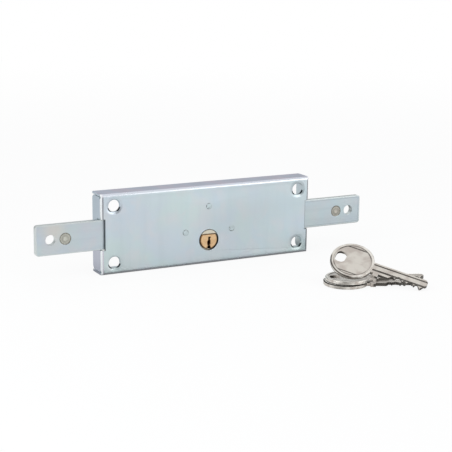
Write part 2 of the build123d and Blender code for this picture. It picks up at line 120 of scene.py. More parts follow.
# The side of each key that lies against its neighbour, where its rim is painted black as painted
# shade
TUCKED_SIDE = {"key_1": 1.0, "key_2": -1.0, "key_3": -1.0}

# Which key leans: 1 gets a painted shade line on its bow's edge, 0 a painted shade side and teeth
# painted pale as painted light
KEY_LEANING = {"key_1": 0.0, "key_2": 0.0, "key_3": 1.0}

# The way in which each post's seam takes its painted shade, as seen from the front: right and up
POST_SHADED_SIDES = {"left_post": (-0.5, 0.85), "right_post": (-0.8, -0.6), "top_post": (-1.0, 0.0)}

# A peg's riveted end: radius, and depth behind the front of the peg
RIVET_HEAD = (
    (0, 0.12), (0.7, 0.1), (1.15, 0.02), (1.5, 0.0), (2.5, 0.03), (2.95, 0.12), (3.3, 0.13),
    (3.6, 0.04), (3.82, 0.02), (PEG_RADIUS, 0.12), (SHANK_RADIUS, 0.9),
)


# Colours, written as they look on a screen and turned into light values
def colour(red, green, blue):
    """A colour from its three screen values, 0 to 255."""
    parts = []
    for value in (red, green, blue):
        share = value / 255
        parts.append(share / 12.92 if share <= 0.04045 else ((share + 0.055) / 1.055) ** 2.4)
    return (*parts, 1.0)


ZINC = colour(203, 216, 219)
ZINC_LILAC = colour(204, 211, 226)
ZINC_GREEN = colour(204, 222, 218)
ZINC_ROSE = colour(216, 214, 217)
ZINC_BLUE = colour(197, 216, 227)
ZINC_WARM = colour(222, 218, 208)
# Painted shade on the case: its upper right quarter (this colour also darkens the rolled streaks),
# then its end flanges and its long flanges
ZINC_STREAK_AND_SHADE = colour(188, 200, 206)
ZINC_END_SHADE = colour(178, 192, 204)
ZINC_LONG_FLANGE_SHADE = colour(194, 200, 216)
ZINC_MAUVE = colour(190, 188, 204)
ZINC_PINK = colour(206, 198, 212)
ZINC_DULL = colour(160, 172, 176)
ZINC_DULL_MAUVE = colour(178, 176, 186)
# Painted highlights on the case's folds, then painted shade beside the end folds and inside the
# bolts' outlines
ZINC_LINE_HIGHLIGHT = colour(240, 244, 245)
ZINC_FOLD_HIGHLIGHT = colour(226, 224, 232)
ZINC_CREASE_SHADE = colour(116, 124, 128)
ZINC_SEAM = colour(72, 78, 80)
ZINC_SCRATCH = colour(224, 230, 234)
# Painted shade in the case's cut walls, notch lips and hole rims
CUT_SHADE = colour(46, 52, 56)
# The bolts' sheared sides, and the painted highlight along their outlines
SHEARED_AND_HIGHLIGHT = colour(212, 218, 216)
STUD_EDGE = colour(112, 111, 102)
STUD_MIDDLE = {"left": colour(204, 204, 194), "right": colour(192, 187, 178)}
STUD_RING = {"left": colour(184, 183, 173), "right": colour(168, 166, 157)}
BRASS = colour(238, 202, 158)
BRASS_DULL = colour(206, 162, 116)
# Painted shade on the plug's rim, flat, slot and slot's foot
BRASS_SHADE = colour(84, 56, 32)
CREAM = colour(222, 215, 198)
CREAM_DULL = colour(214, 204, 186)
NICKEL = colour(214, 208, 199)
NICKEL_WARM = colour(188, 178, 170)
# Painted shade on the keys
NICKEL_DARK = colour(58, 54, 50)
NICKEL_PALE = colour(240, 236, 228)
# Painted shade where the stacked keys lie against each other
NICKEL_BLACK = colour(22, 20, 18)
NICKEL_SCRATCH = colour(232, 230, 226)
STEEL = colour(176, 177, 178)
STEEL_DARK = colour(96, 96, 98)
WHITE = (1, 1, 1, 1)
BLACK = (0, 0, 0, 1)
PAPER = (0.85, 0.85, 0.85, 1)
ROOM = (0.97, 0.985, 1.0, 1)

# Clouds of other tints on all zinc: the tint, its share of the clouds' size, its amount
ZINC_CLOUDS = (
    (ZINC_BLUE, 1.0, 0.45), (ZINC_LILAC, 0.8, 0.4), (ZINC_GREEN, 0.9, 0.5), (ZINC_ROSE, 0.45, 0.4),
)
ZINC_ROUGHNESS = (0.3, 0.42)

# The range that holds most of a noise's values
NOISE = (0.3, 0.7)


# Node trees
def feed(tree, node, sockets):
    """Sets inputs of a node by name or number, to a value or from another socket."""
    for name, value in sockets.items():
        if isinstance(value, bpy.types.NodeSocket):
            tree.links.new(value, node.inputs[name])
        else:
            node.inputs[name].default_value = value
    return node


def add(tree, kind, sockets=None, **settings):
    """A node of one kind, with its settings and inputs."""
    node = tree.nodes.new("ShaderNode" + kind)
    for name, value in settings.items():
        setattr(node, name, value)
    return feed(tree, node, sockets or {})


def chain(tree, operation, values):
    """One value from several, which Math nodes take together in turn."""
    total = values[0]
    for value in values[1:]:
        total = add(tree, "Math", {0: total, 1: value}, operation=operation).outputs[0]
    return total


def times(tree, *values):
    """The product of some values."""
    return chain(tree, "MULTIPLY", values)


def plus(tree, *values):
    """The sum of some values."""
    return chain(tree, "ADD", values)


def minus(tree, first, second):
    """The first value less the second."""
    return chain(tree, "SUBTRACT", (first, second))


def most(tree, *values):
    """The largest of some values."""
    return chain(tree, "MAXIMUM", values)


def unsigned(tree, value):
    """A value without its sign."""
    return add(tree, "Math", {0: value}, operation="ABSOLUTE").outputs[0]


def sign_of(tree, value):
    """1 where a value is above 0, and -1 where it is below."""
    return add(tree, "Math", {0: value}, operation="SIGN").outputs[0]


def axes(tree, place):
    """The X, Y and Z of a place."""
    return add(tree, "SeparateXYZ", {0: place}).outputs


def length_of(tree, **parts):
    """The length of a vector, of which any of X, Y and Z are given."""
    whole = add(tree, "CombineXYZ", parts).outputs[0]
    return add(tree, "VectorMath", {0: whole}, operation="LENGTH").outputs["Value"]


def ramp(tree, value, low, high, to_low, to_high):
    """A value taken smoothly from one range to another."""
    sockets = {
        "Value": value, "From Min": low, "From Max": high, "To Min": to_low, "To Max": to_high,
    }
    return add(tree, "MapRange", sockets, interpolation_type="SMOOTHSTEP").outputs["Result"]


def rise(tree, value, start, end, share=1.0):
    """0 up to the start, and a share from the end on."""
    return ramp(tree, value, start, end, 0.0, share)


def fall(tree, value, start, end, share=1.0):
    """A share up to the start, and 0 from the end on."""
    return ramp(tree, value, start, end, share, 0.0)


def painted(tree, tone, *layers):
    """A colour with others laid over it in turn, each where its mask is 1."""
    for mask, over in layers:
        mix = add(tree, "Mix", {"Factor": mask, 6: tone, 7: over}, data_type="RGBA")
        tone = mix.outputs[2]
    return tone


KINDS = {"value": "NodeSocketFloat", "vector": "NodeSocketVector", "colour": "NodeSocketColor"}


def new_effect(name, takes, gives):
    """An empty shared effect with named inputs and outputs."""
    tree = bpy.data.node_groups.new(name, "ShaderNodeTree")
    for label, kind, default in takes:
        socket = tree.interface.new_socket(name=label, in_out="INPUT", socket_type=KINDS[kind])
        socket.default_value = default
    for label, kind in gives:
        tree.interface.new_socket(name=label, in_out="OUTPUT", socket_type=KINDS[kind])
    inside = tree.nodes.new("NodeGroupInput")
    outside = tree.nodes.new("NodeGroupOutput")
    return tree, inside.outputs, outside


def use(tree, effect, sockets):
    """A shared effect placed in a material, as its outputs."""
    node = tree.nodes.new("ShaderNodeGroup")
    node.node_tree = effect
    return feed(tree, node, sockets).outputs


# Shared effects
def noise(tree, sockets, dimensions="4D"):
    """The output of a noise texture at its plain scale."""
    texture = add(tree, "TexNoise", {"Scale": 1.0, **sockets}, noise_dimensions=dimensions)
    return texture.outputs["Fac"]


def make_bloom():
    """Soft clouds of another tint, as passivated zinc and handled metal have."""
    takes = [
        ("Place", "vector", (0, 0, 0)), ("Size", "value", 30.0), ("Base", "colour", ZINC),
        ("Tint", "colour", ZINC_BLUE), ("Amount", "value", 0.5), ("Seed", "value", 0.0),
    ]
    tree, given, out = new_effect("bloom", takes, [("Colour", "colour")])
    scale = chain(tree, "DIVIDE", (1.0, given["Size"]))
    near = add(tree, "VectorMath", {0: given["Place"], "Scale": scale}, operation="SCALE")
    clouds = noise(tree, {"Vector": near.outputs[0], "W": given["Seed"], "Detail": 2.5,
                          "Roughness": 0.55, "Distortion": 0.5})
    mask = times(tree, rise(tree, clouds, 0.42, 0.66), given["Amount"])
    feed(tree, out, {"Colour": painted(tree, given["Base"], (mask, given["Tint"]))})
    return tree


def make_grain():
    """Fine grain drawn out by different amounts along the three directions."""
    takes = [
        ("Place", "vector", (0, 0, 0)), ("Fineness", "vector", (1, 1, 1)), ("Seed", "value", 0.0),
    ]
    tree, given, out = new_effect("drawn grain", takes, [("Grain", "value")])
    near = add(tree, "VectorMath", {0: given["Place"], 1: given["Fineness"]}, operation="MULTIPLY")
    feed(tree, out, {"Grain": noise(tree, {"Vector": near.outputs[0], "W": given["Seed"],
                                           "Detail": 4.0, "Roughness": 0.62})})
    return tree


def make_hairlines():
    """Sparse fine scratches that all run roughly one way."""
    takes = [
        ("Place", "vector", (0, 0, 0)), ("Turn", "vector", (0, 0, 0)), ("Share", "value", 0.3),
        ("Seed", "value", 0.0),
    ]
    tree, given, out = new_effect("hairlines", takes, [("Mask", "value")])
    turned = add(tree, "VectorRotate", {"Vector": given["Place"], "Rotation": given["Turn"]},
                 rotation_type="EULER_XYZ").outputs[0]
    drawn = add(tree, "VectorMath", {0: turned, 1: (0.09, 2.6, 2.6)}, operation="MULTIPLY")
    lines = noise(tree, {"Vector": drawn.outputs[0], "W": given["Seed"], "Detail": 1.5,
                         "Distortion": 0.15})
    start = minus(tree, 0.78, times(tree, given["Share"], 0.2))
    feed(tree, out, {"Mask": rise(tree, lines, start, plus(tree, start, 0.05))})
    return tree


def make_rings():
    """Turning marks: uneven rings about a line along the depth."""
    takes = [
        ("Place", "vector", (0, 0, 0)), ("Fineness", "value", 4.0), ("Seed", "value", 0.0),
    ]
    gives = [("Ring", "value"), ("Radius", "value")]
    tree, given, out = new_effect("turning rings", takes, gives)
    parts = axes(tree, given["Place"])
    radius = length_of(tree, X=parts["X"], Z=parts["Z"])
    along = plus(tree, times(tree, radius, given["Fineness"]), given["Seed"])
    ring = noise(tree, {"W": along, "Detail": 3.0, "Roughness": 0.7}, "1D")
    feed(tree, out, {"Ring": ring, "Radius": radius})
    return tree


def make_band():
    """A soft band round one distance: 1 on it and 0 outside its width."""
    takes = [("Distance", "value", 0.0), ("Middle", "value", 0.0), ("Width", "value", 1.0)]
    tree, given, out = new_effect("soft band", takes, [("Mask", "value")])
    off = unsigned(tree, minus(tree, given["Distance"], given["Middle"]))
    share = chain(tree, "DIVIDE", (off, given["Width"]))
    feed(tree, out, {"Mask": fall(tree, share, 0.0, 1.0)})
    return tree


BLOOM = make_bloom()
GRAIN = make_grain()
HAIRLINES = make_hairlines()
RINGS = make_rings()
BAND = make_band()


def cloud(tree, place, size, base, tint, amount, seed):
    """A base colour with clouds of a tint."""
    sockets = {
        "Place": place, "Size": size, "Base": base, "Tint": tint, "Amount": amount, "Seed": seed,
    }
    return use(tree, BLOOM, sockets)["Colour"]


def grain(tree, place, fineness, seed):
    """Grain of one fineness all round, or of one for each direction."""
    if isinstance(fineness, float):
        fineness = (fineness, fineness, fineness)
    return use(tree, GRAIN, {"Place": place, "Fineness": fineness, "Seed": seed})["Grain"]


def hairlines(tree, place, turn, share, seed):
    """The mask of one set of scratches."""
    sockets = {"Place": place, "Turn": turn, "Share": share, "Seed": seed}
    return use(tree, HAIRLINES, sockets)["Mask"]


def rings_about(tree, place, x, z, fineness, seed):
    """Turning marks about a line along the depth, and the distance from that line."""
    place = centred(tree, place, x, z)
    return use(tree, RINGS, {"Place": place, "Fineness": fineness, "Seed": seed})


def band(tree, distance, middle_at, width, share=1.0):
    """A soft band round one distance, as strong as a share."""
    mask = use(tree, BAND, {"Distance": distance, "Middle": middle_at, "Width": width})["Mask"]
    return mask if share == 1.0 else times(tree, mask, share)


# Materials
def new_material(name):
    """A material with a plain metal shader, and its place in millimetres."""
    material = bpy.data.materials.new(name)
    material.use_nodes = True
    tree = material.node_tree
    shader = tree.nodes["Principled BSDF"]
    shader.inputs["Metallic"].default_value = 1.0
    place = add(tree, "TexCoord").outputs["Object"]
    place = add(tree, "VectorMath", {0: place, "Scale": 1 / MM}, operation="SCALE").outputs[0]
    return material, tree, shader, place


def finish_surface(tree, shader, tone, roughness, height, depth):
    """Gives the shader its colour and roughness, and a height as a bump of some depth."""
    bump = add(tree, "Bump", {"Height": height, "Distance": depth * MM, "Strength": 1.0})
    feed(tree, shader, {"Base Color": tone, "Roughness": roughness, "Normal": bump.outputs[0]})


def centred(tree, place, x, z):
    """The place seen from a line along the depth."""
    return add(tree, "VectorMath", {0: place, 1: (x, 0, z)}, operation="SUBTRACT").outputs[0]


def measured(tree, place):
    """The parts of a place, and its distances from the middle sideways and upwards."""
    parts = axes(tree, place)
    return parts, unsigned(tree, parts["X"]), unsigned(tree, parts["Z"])


def zinc(name, seed, streaks, size=34.0, warm_spot=None, dulled=None, bolt=False, case=False):
    """Blue passivated zinc on rolled steel.

    The streaks are its grain's fineness in each direction, and the size is that of its
    clouds. It can have a warm spot, be dulled by a share of a colour, and have what only
    the bolts or only the case show."""
    material, tree, shader, place = new_material(name)
    tone = ZINC
    for number, (tint, share, amount) in enumerate(ZINC_CLOUDS):
        tone = cloud(tree, place, size * share, tone, tint, amount, seed + 3.7 * number)
    rolled = grain(tree, place, streaks, seed)
    fine = grain(tree, place, 1.7, seed + 1)
    marks = most(tree, hairlines(tree, place, (0, 0.12, 0), 0.3, seed),
                 hairlines(tree, place, (0, 1.3, 0), 0.2, seed + 2))
    uneven = plus(tree, times(tree, rolled, 0.6), times(tree, fine, 0.4))
    roughness = ramp(tree, uneven, *NOISE, *ZINC_ROUGHNESS)
    height = minus(tree, uneven, times(tree, marks, 0.35))
    tone = painted(tree, tone, (rise(tree, rolled, 0.42, 0.75, 0.22), ZINC_STREAK_AND_SHADE),
                   (times(tree, marks, 0.2), ZINC_SCRATCH))
    if warm_spot:
        away = add(tree, "VectorMath", {0: place, 1: warm_spot}, operation="DISTANCE")
        ragged = plus(tree, away.outputs["Value"], times(tree, fine, 6.0))
        tone = painted(tree, tone, (fall(tree, ragged, 4.0, 16.0, 0.75), ZINC_WARM))
    if dulled:
        share, dull = dulled
        mask = ramp(tree, rolled, 0.0, 1.0, share * 0.8, share * 1.2)
        tone = painted(tree, tone, (mask, dull))
    if bolt:
        # A painted highlight along the bolt's outline, and a painted shade line inside it and on
        # its hole's wall
        pale, dark = bolt_outline_light_and_shade(tree, place)
        tone = painted(tree, tone, (pale, SHEARED_AND_HIGHLIGHT), (dark, ZINC_CREASE_SHADE),
                       (bolt_sides(tree, place), SHEARED_AND_HIGHLIGHT))
    if case:
        # The folds and the line on the end folds are painted highlights; the crease beside it and
        # the cut walls are painted shade
        folds, line, crease_shade = fold_masks(tree, place)
        tone = flange_tone(tree, place, tone, seed + 5)
        tone = painted(tree, tone, (folds, ZINC_FOLD_HIGHLIGHT), (times(tree, line, 0.9), ZINC_LINE_HIGHLIGHT),
                       (crease_shade, ZINC_CREASE_SHADE), (case_cut_shade(tree, place), CUT_SHADE))
        roughness = minus(tree, roughness, times(tree, folds, 0.13))
        height = minus(tree, height, times(tree, hole_dish(tree, place), 55.0))
        height = times(tree, height, ramp(tree, folds, 0.0, 0.5, 1.0, 0.1))
    finish_surface(tree, shader, tone, roughness, height, 0.008)
    return material


def flange_tone(tree, place, tone, seed):
    """Painted shade on the case's upper right quarter and flanges, mauve low on the ends, pink
    clouds on the long ones.
    """
    parts, wide, high = measured(tree, place)
    shade = times(tree, rise(tree, parts["X"], -10.0, 45.0),
                  rise(tree, parts["Z"], -8.0, 10.0, 0.4))
    end_tone = painted(tree, ZINC_END_SHADE, (fall(tree, parts["Z"], -14.0, 10.0, 0.8), ZINC_MAUVE))
    long_tone = cloud(tree, place, 13.0, ZINC_LONG_FLANGE_SHADE, ZINC_PINK, 1.0, seed)
    return painted(tree, tone, (shade, ZINC_STREAK_AND_SHADE),
                   (rise(tree, wide, CASE_END - 0.5, CASE_END - 0.05, 0.8), end_tone),
                   (rise(tree, high, CASE_TOP - 0.5, CASE_TOP - 0.05, 0.9), long_tone))


def fold_masks(tree, place):
    """The folded corners, which take a painted highlight, a brighter painted highlight line on the
    end ones, and a painted shade line beside it.
    """
    parts, wide, high = measured(tree, place)
    folds = most(tree, rise(tree, wide, CASE_END - 1.9, CASE_END - 1.5),
                 rise(tree, high, CASE_TOP - 1.9, CASE_TOP - 1.5, 0.5))
    line = rise(tree, wide, CASE_END - 1.0, CASE_END - 0.7)
    kept = most(tree, ramp(tree, parts["Z"], -11.0, -9.0, 0.3, 1.0),
                rise(tree, parts["X"], -1.0, 1.0))
    crease_shade = times(tree, rise(tree, wide, CASE_END - 2.0, CASE_END - 1.6),
                   fall(tree, wide, CASE_END - 1.05, CASE_END - 0.75),
                   fall(tree, high, CASE_TOP - 2.5, CASE_TOP - 1.5, 0.7), kept)
    near = fall(tree, parts["Y"], SHEET, SHEET + 0.5)
    return [times(tree, mask, near) for mask in (folds, line, crease_shade)]


def hole_dish(tree, place):
    """The shallow dish that the punch leaves round each fixing hole, fainter round the low ones."""
    parts, wide, high = measured(tree, place)
    away = length_of(tree, X=minus(tree, wide, HOLE_X), Z=minus(tree, high, HOLE_Z))
    return times(tree, fall(tree, away, HOLE_RADIUS, HOLE_RADIUS + 2.3),
                 fall(tree, parts["Y"], 0.5, 1.0), ramp(tree, parts["Z"], -5.0, 5.0, 0.5, 1.0))


def hole_rim_shade(tree, place):
    """Painted shade at each fixing hole's rim: on its lower sides, and in a faint arc over it."""
    parts, wide, high = measured(tree, place)
    outward, upward = minus(tree, wide, HOLE_X), minus(tree, high, HOLE_Z)
    radius = length_of(tree, X=outward, Z=upward)
    right = times(tree, outward, sign_of(tree, parts["X"]))
    above = times(tree, upward, sign_of(tree, parts["Z"]))
    rim = HOLE_RADIUS + 0.4
    widened = minus(tree, radius, fall(tree, right, -1.0, 1.0, 0.3))
    sides = times(tree, rise(tree, above, -4.1, -3.3), fall(tree, above, -1.6, -0.5),
                  fall(tree, widened, rim, rim + 0.35))
    arc = times(tree, band(tree, radius, rim, 0.45), rise(tree, above, 0.5, 3.5, 0.4))
    return most(tree, sides, arc)


def case_cut_shade(tree, place):
    """Painted shade on the walls of the case's window and end notches, on the notches' lips and
    round the fixing holes' rims.
    """
    parts, wide, high = measured(tree, place)
    at_notch = times(tree, fall(tree, wide, NOTCH_X + 0.05, NOTCH_X + 0.2),
                     fall(tree, high, NOTCH_Z, NOTCH_Z + 0.2))
    notch = times(tree, at_notch, rise(tree, wide, NOTCH_X - 0.1, NOTCH_X))
    lip = times(tree, at_notch, rise(tree, wide, NOTCH_X - 0.5, NOTCH_X - 0.15, 0.6))
    away = length_of(tree, X=minus(tree, parts["X"], PLUG_X), Z=minus(tree, parts["Z"], PLUG_Z))
    window = fall(tree, away, WINDOW_RADIUS + 0.1, WINDOW_RADIUS + 0.35)
    in_sheet = fall(tree, parts["Y"], SHEET + 0.1, SHEET + 0.3)
    walls = times(tree, most(tree, notch, window), rise(tree, parts["Y"], 0.05, 0.3), 0.9)
    return times(tree, most(tree, walls, lip, hole_rim_shade(tree, place)), in_sheet)


def bolt_outline_light_and_shade(tree, place):
    """A painted highlight along a bolt's outline, and a painted shade line inside it with painted
    shade on its hole's wall.
    """
    parts, wide, high = measured(tree, place)
    inset = chain(tree, "MINIMUM", (minus(tree, BOLT_END, wide), minus(tree, BOLT_HALF, high)))
    to_right = rise(tree, parts["X"], -BOLT_END, BOLT_END)
    line = times(tree, band(tree, inset, 1.35, 0.5), to_right, 0.28)
    away = length_of(tree, X=minus(tree, wide, BOLT_HOLE_X), Z=parts["Z"])
    wall = times(tree, fall(tree, away, BOLT_HOLE_RADIUS + 0.1, BOLT_HOLE_RADIUS + 0.3), to_right,
                 band(tree, parts["Z"], -0.6, 1.6))
    return fall(tree, inset, 0.5, 1.0, 0.7), most(tree, line, wall)


def bolt_sides(tree, place):
    """The sheared sides and ends of a bolt, between its two faces."""
    depth = axes(tree, place)["Y"]
    return times(tree, rise(tree, depth, BOLT_FRONT + 0.05, BOLT_FRONT + 0.3),
                 fall(tree, depth, BOLT_BACK - 0.3, BOLT_BACK - 0.05), 0.75)


def stud_steel(name, x, z, pale, ring):
    """Riveted end of a plain steel peg: a dark seam, a hammered ring and a paler middle."""
    material, tree, shader, place = new_material(name)
    rings = rings_about(tree, place, x, z, 2.6, x)
    fine = grain(tree, place, 1.6, 4.0)
    radius = plus(tree, rings["Radius"], ramp(tree, fine, *NOISE, -0.5, 0.5))
    tone = painted(tree, pale, (rise(tree, radius, 0.8, 1.9), ring),
                   (band(tree, radius, 2.1, 0.55, 0.25), STUD_EDGE),
                   (band(tree, radius, 2.9, 0.6, 0.3), pale),
                   (rise(tree, radius, 3.2, 3.75, 0.9), STUD_EDGE))
    finish_surface(tree, shader, tone, ramp(tree, fine, *NOISE, 0.36, 0.5),
                   plus(tree, rings["Ring"], fine), 0.02)
    return material


def post_zinc(name, x, z, shaded_side):
    """Flush riveted end of a post, plated with the case, in a dark broken seam and dent with
    painted shade deepening one side.
    """
    material, tree, shader, place = new_material(name)
    radius = rings_about(tree, place, x, z, 2.0, z)["Radius"]
    patchy, fine = grain(tree, place, 0.55, x), grain(tree, place, 1.7, 3.0)
    seam = times(tree, band(tree, radius, 2.0, 0.75), ramp(tree, patchy, 0.44, 0.51, 0.12, 1.0))
    dent = times(tree, band(tree, radius, 0.9, 0.5), rise(tree, patchy, 0.46, 0.58, 0.7))
    toward = add(tree, "VectorMath", {0: centred(tree, place, x, z),
                 1: (shaded_side[0], 0, shaded_side[1])}, operation="DOT_PRODUCT").outputs["Value"]
    dark = times(tree, most(tree, seam, dent), ramp(tree, toward, -1.6, 1.4, 0.25, 1.0))
    finish_surface(tree, shader, painted(tree, ZINC, (dark, ZINC_SEAM)),
                   ramp(tree, fine, *NOISE, 0.32, 0.44), minus(tree, fine, dark), 0.02)
    return material


def plug_shade(tree, place, radius):
    """Painted shade on the plug: round its rim, along its flat, in its slot and at the slot's foot.
    """
    parts = axes(tree, centred(tree, place, PLUG_X, PLUG_Z))
    across, height = unsigned(tree, parts["X"]), parts["Z"]
    slot = times(tree, fall(tree, across, 0.8, 1.5, 0.9), fall(tree, height, -4.6, -2.2))
    foot = times(tree, fall(tree, across, 1.5, 2.7, 0.85), fall(tree, height, -6.0, -4.4))
    return most(tree, rise(tree, radius, PLUG_RIM - 0.7, PLUG_RIM, 0.9),
                rise(tree, height, PLUG_FLAT - 0.85, PLUG_FLAT - 0.4, 0.95), slot, foot)


def brass(name, plug=False):
    """Brass turned about the plug's line, with tarnish in clouds and specks."""
    material, tree, shader, place = new_material(name)
    rings = rings_about(tree, place, PLUG_X, PLUG_Z, 5.0, 1.7)
    fine, specks = grain(tree, place, 2.5, 9.0), grain(tree, place, 0.9, 14.0)
    tone = painted(tree, cloud(tree, place, 5.0, BRASS, BRASS_DULL, 0.4, 2.0),
                   (rise(tree, rings["Ring"], 0.35, 0.7, 0.3), BRASS_DULL),
                   (rise(tree, specks, 0.52, 0.66, 0.5), BRASS_DULL))
    if plug:
        tone = painted(tree, tone, (plug_shade(tree, place, rings["Radius"]), BRASS_SHADE))
    height = plus(tree, rings["Ring"], times(tree, fine, 0.4))
    finish_surface(tree, shader, tone, ramp(tree, fine, *NOISE, 0.24, 0.4), height, 0.012)
    return material


def plain_metal(name, base, tint, size, rough, fineness, depth=0.01):
    """A cast, drawn or stamped metal with soft clouds and a fine grain."""
    material, tree, shader, place = new_material(name)
    tone = cloud(tree, place, size, base, tint, 0.6, size)
    fine = grain(tree, place, fineness, size + 1)
    finish_surface(tree, shader, tone, ramp(tree, fine, *NOISE, *rough), fine, depth)
    return material


def key_shade(tree, own, fine, leaning):
    """Painted shade on a key: round its panel, in its ring hole and grooves, at its blade's root
    and along a leaning key's edge.
    """
    parts = axes(tree, own)
    radius = length_of(tree, X=parts["X"], Y=parts["Y"])
    sideways, thick = unsigned(tree, parts["Y"]), unsigned(tree, parts["Z"])
    side_line = times(tree, band(tree, sideways, PANEL_SIDE, 0.75), fall(tree, radius, 12.0, 12.6))
    end_line = times(tree, band(tree, radius, PANEL_END, 0.5),
                     ramp(tree, sideways, 3.0, 7.0, 0.3, 0.95))
    panel = times(tree, most(tree, side_line, end_line), ramp(tree, fine, 0.25, 0.6, 0.6, 1.0))
    groove = times(tree, fall(tree, thick, *BLADE_FACE, 0.85), rise(tree, parts["X"], *SHOULDER),
                   fall(tree, sideways, *BLADE_HALF_HEIGHT))
    along = unsigned(tree, minus(tree, parts["X"], RING_HOLE_X))
    ring_hole = times(tree, fall(tree, along, *RING_HOLE_HALF_LENGTH),
                      fall(tree, sideways, *RING_HOLE_HALF_WIDTH),
                      fall(tree, thick, 0.75, 0.95, 0.95),
                      ramp(tree, parts["X"], -9.0, -6.5, 1.0, 0.25))
    low_end = plus(tree, parts["X"], times(tree, parts["Y"], 1.4))
    edge = times(tree, band(tree, radius, BOW_EDGE, 1.0), fall(tree, low_end, -17.5, -13.5),
                 rise(tree, parts["Z"], 0.5, 0.8), leaning)
    root = times(tree, rise(tree, parts["X"], 16.5, 18.0), fall(tree, parts["X"], 28.0, 34.0),
                 fall(tree, thick, *BLADE_FACE, 0.9))
    return most(tree, panel, groove, ring_hole, edge, root)


def key_metal(name):
    """Tumbled nickel silver, with a rim painted pale as rubbed metal and painted highlight, painted
    shade on one side, in its hollows and between the keys, and teeth painted pale as painted light.
    """
    material, tree, shader, _ = new_material(name)
    own = add(tree, "Attribute", attribute_name="key_place").outputs["Vector"]
    leaning = add(tree, "Attribute", attribute_name="key_leaning").outputs["Fac"]
    tuck = add(tree, "Attribute", attribute_name="key_tuck").outputs["Fac"]
    parts = axes(tree, own)
    radius = length_of(tree, X=parts["X"], Y=parts["Y"])
    sideways, thick = unsigned(tree, parts["Y"]), unsigned(tree, parts["Z"])
    fine, drawn = grain(tree, own, 1.4, 3.0), grain(tree, own, (0.1, 1.8, 1.8), 5.0)
    patchy = grain(tree, own, 0.16, 8.0)
    marks = most(tree, hairlines(tree, own, (0, 0, 0.5), 0.4, 2.0),
                 hairlines(tree, own, (0, 0, -1.1), 0.35, 6.0))
    stacked = minus(tree, 1.0, leaning)
    # The rim is painted pale in patches, as rubbed metal and painted highlight
    rim = times(tree, rise(tree, radius, *BOW_RIM), fall(tree, parts["X"], *SHOULDER))
    low_side = plus(tree, times(tree, parts["X"], -0.342), times(tree, parts["Y"], -0.94))
    shaded = times(tree, rim, rise(tree, low_side, 12.9, 14.3, 0.45), stacked)
    # Painted light: the stacked keys' teeth are painted pale
    lit_teeth = times(tree, rise(tree, parts["X"], 31.0, 36.0), rise(tree, sideways, 1.5, 2.5), stacked)
    # Painted shade: the rim is painted black where the keys lie against each other
    tucked = times(tree, rise(tree, tuck, 0.6, 0.8), rise(tree, radius, 13.4, 13.8),
                   fall(tree, parts["X"], 14.5, 16.0))
    tone = painted(tree, cloud(tree, own, 9.0, NICKEL, NICKEL_WARM, 0.85, 1.0),
                   (times(tree, rim, rise(tree, patchy, 0.4, 0.6, 0.8)), NICKEL_PALE),
                   (shaded, NICKEL_DARK), (lit_teeth, NICKEL_PALE),
                   (key_shade(tree, own, fine, leaning), NICKEL_DARK), (tucked, NICKEL_BLACK),
                   (times(tree, marks, 0.2), NICKEL_SCRATCH))
    uneven = plus(tree, times(tree, fine, 0.5), times(tree, drawn, 0.5))
    rough = plus(tree, ramp(tree, uneven, *NOISE, 0.18, 0.28), rise(tree, thick, 0.8, 1.1, 0.16),
                 times(tree, most(tree, tucked, lit_teeth), 0.4))
    height = minus(tree, uneven, times(tree, marks, 0.4))
    finish_surface(tree, shader, tone, rough, height, 0.004)
    return material


CASE_ZINC = zinc("case zinc", 2.0, (0.1, 0.1, 0.012), case=True)
COVER_ZINC = zinc("cover zinc", 21.0, (0.012, 0.2, 0.2))
LEFT_ZINC = zinc("left bolt zinc", 33.0, (0.02, 0.3, 0.3), 26.0, bolt=True,
                 warm_spot=(-110.0, 1.7, 6.0), dulled=(0.18, ZINC_DULL_MAUVE))
RIGHT_ZINC = zinc("right bolt zinc", 47.0, (0.02, 0.3, 0.3), 26.0, bolt=True,
                  dulled=(0.32, ZINC_DULL))
SCREW_ZINC = zinc("screw zinc", 58.0, 0.8, 12.0)
PLUG_BRASS = brass("plug brass", plug=True)
BARREL_BRASS = brass("barrel brass")
PIN_BRASS = brass("pin brass")
GEAR_ALLOY = plain_metal("gear alloy", CREAM, CREAM_DULL, 4.0, (0.34, 0.5), 1.4)
CLIP_STEEL = plain_metal("clip steel", STEEL, STEEL_DARK, 6.0, (0.26, 0.42), (0.8, 2.0, 0.8))
SPRING_STEEL = plain_metal("spring steel", STEEL, STEEL_DARK, 2.0, (0.2, 0.34), 3.0, depth=0.004)
KEY_SILVER = key_metal("key silver")

# How the pieces' edges are rounded: distances in millimetres, then angles in degrees
MERGED_WITHIN = 0.002
SHORTEST_EDGE, SHORTEST_COARSE_EDGE = 0.05, 0.1
LEAST_MOVE = 1e-4
OUTLINE_REACH = 2.5
ROUNDED_ABOVE = 28.0
FLAT_WITHIN = 0.3
HARD_ABOVE, COIL_HARD_ABOVE = 40.0, 75.0
ROUND_STEPS, OUTLINE_STEPS, LATHE_STEPS = 2, 4, 48


# Pieces
def place_piece(name, mesh, material, body, stands_for):
    """Puts a finished mesh into the scene and ties it to its body."""
    piece = bpy.data.objects.new(name, mesh)
    bpy.context.scene.collection.objects.link(piece)
    mesh.materials.clear()
    mesh.materials.append(material)
    weight = piece.modifiers.new("even shading", "WEIGHTED_NORMAL")
    weight.keep_sharp = True
    weight.mode = "FACE_AREA_WITH_ANGLE"
    weight.weight = 80
    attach(piece, body)
    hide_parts(stands_for)
    return piece


def copy_of(node):
    """A node's own corners and faces, to work on."""
    shape = bmesh.new()
    shape.from_mesh(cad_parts[node].data)
    return shape


